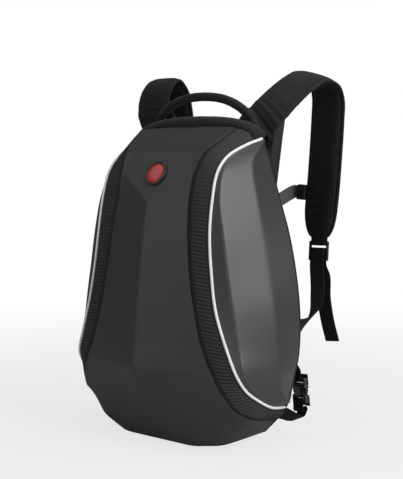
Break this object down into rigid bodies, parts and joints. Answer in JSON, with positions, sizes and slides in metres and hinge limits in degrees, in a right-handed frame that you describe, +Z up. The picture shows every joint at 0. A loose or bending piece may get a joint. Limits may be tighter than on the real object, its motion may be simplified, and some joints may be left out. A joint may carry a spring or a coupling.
{
  "type": "hard shell backpack",
  "caption": "Hard shell backpack with a faceted front, ribbed zip bands, soft-creased side shells, padded shoulder straps, grab handle and fastened waist belt.",
  "frame": {"origin": "on the flat base, below the middle of the shell", "axes": "+Z up, front towards -Y, +X to the right as seen from the front"},
  "size_m": [0.3503, 0.3367, 0.5386],
  "materials": {
    "shell": "satin, finely textured moulded shell",
    "side": "satin moulded shell",
    "band": "ribbed cloth",
    "piping": "smooth white",
    "cloth": "woven cloth",
    "padding": "air mesh",
    "webbing": "flat woven web",
    "grey_webbing": "flat woven web",
    "fittings": "satin moulded",
    "badge": "gloss red"
  },
  "bodies": {
    "root": {"front_shell": "shell", "zip_band_left": "band", "zip_band_right": "band", "piping_left": "piping", "piping_right": "piping", "side_shell_left": "side", "side_shell_right": "side", "top_roll": "cloth", "rear_binding": "band", "back_panel": "padding", "handle": "cloth", "shoulder_strap_left": "cloth", "shoulder_strap_right": "cloth", "strap_wing_left": "cloth", "strap_wing_right": "cloth", "strap_tab_left": "webbing", "strap_tab_right": "webbing", "ladder_lock_left": "fittings", "ladder_lock_right": "fittings", "adjuster_webbing_left": "webbing", "adjuster_webbing_right": "webbing", "sternum_slider_left": "fittings", "sternum_slider_right": "fittings", "sternum_webbing_left": "grey_webbing", "sternum_webbing_right": "grey_webbing", "sternum_buckle_male": "fittings", "sternum_buckle_female": "fittings", "waist_webbing_left": "webbing", "waist_webbing_right": "webbing", "waist_buckle_male": "fittings", "waist_buckle_female": "fittings", "badge": "badge", "badge_bezel": "fittings"}
  },
  "joints": []
}
